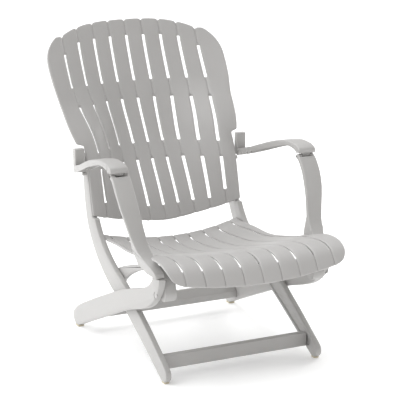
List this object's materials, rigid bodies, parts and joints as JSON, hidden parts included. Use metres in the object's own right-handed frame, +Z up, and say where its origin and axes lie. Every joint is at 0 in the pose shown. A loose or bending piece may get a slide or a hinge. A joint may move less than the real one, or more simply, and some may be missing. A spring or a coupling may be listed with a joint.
{
  "type": "folding lounge chair",
  "caption": "High-back folding lounge armchair in moulded resin, with a slatted seat and back that recline and fold on crossed legs.",
  "frame": {"origin": "centre of the chair's box, on the floor", "axes": "+X towards the sitter's left, +Y towards the back of the chair, +Z up"},
  "size_m": [0.6746, 0.9707, 0.931],
  "materials": {
    "resin": "satin moulded polypropylene, faintly warm white",
    "foot_pads": "matt cream",
    "fixings": "zinc-plated"
  },
  "bodies": {
    "back_frame": {"left_front_leg": "resin", "right_front_leg": "resin", "left_front_foot": "foot_pads", "right_front_foot": "foot_pads", "back_panel": "resin", "back_pegs": "resin", "front_stretcher": "resin", "front_stretcher_screws": "fixings", "left_pivot_pin": "fixings", "right_pivot_pin": "fixings", "left_recline_stud": "resin", "right_recline_stud": "resin"},
    "seat_unit": {"seat_panel": "resin", "seat_screws": "fixings", "left_seat_rail": "resin", "right_seat_rail": "resin", "seat_cross_rail": "resin", "left_rear_leg": "resin", "right_rear_leg": "resin", "left_rear_foot": "foot_pads", "right_rear_foot": "foot_pads", "rear_leg_bolts": "resin", "rear_stretcher": "resin", "rear_stretcher_screws": "fixings", "left_arm_support": "resin", "right_arm_support": "resin", "support_dowels": "resin", "left_arm_pin": "fixings", "right_arm_pin": "fixings"},
    "left_arm": {"left_arm": "resin"},
    "right_arm": {"right_arm": "resin"}
  },
  "joints": [
    {"name": "recline", "type": "hinge", "parent": "back_frame", "child": "seat_unit", "pos_m": [0, 0.0025, 0.222], "axis": [-1, 0, 0], "range_deg": [0, 80]},
    {"name": "left_arm_hinge", "type": "hinge", "parent": "seat_unit", "child": "left_arm", "pos_m": [0, -0.1735, 0.576], "axis": [1, 0, 0], "range_deg": [0, 40]},
    {"name": "right_arm_hinge", "type": "hinge", "parent": "seat_unit", "child": "right_arm", "pos_m": [0, -0.1735, 0.576], "axis": [1, 0, 0], "range_deg": [0, 40]}
  ],
  "couplings": [
    {"joint": "left_arm_hinge", "follows": "recline", "ratio": 0.45},
    {"joint": "right_arm_hinge", "follows": "recline", "ratio": 0.45}
  ]
}
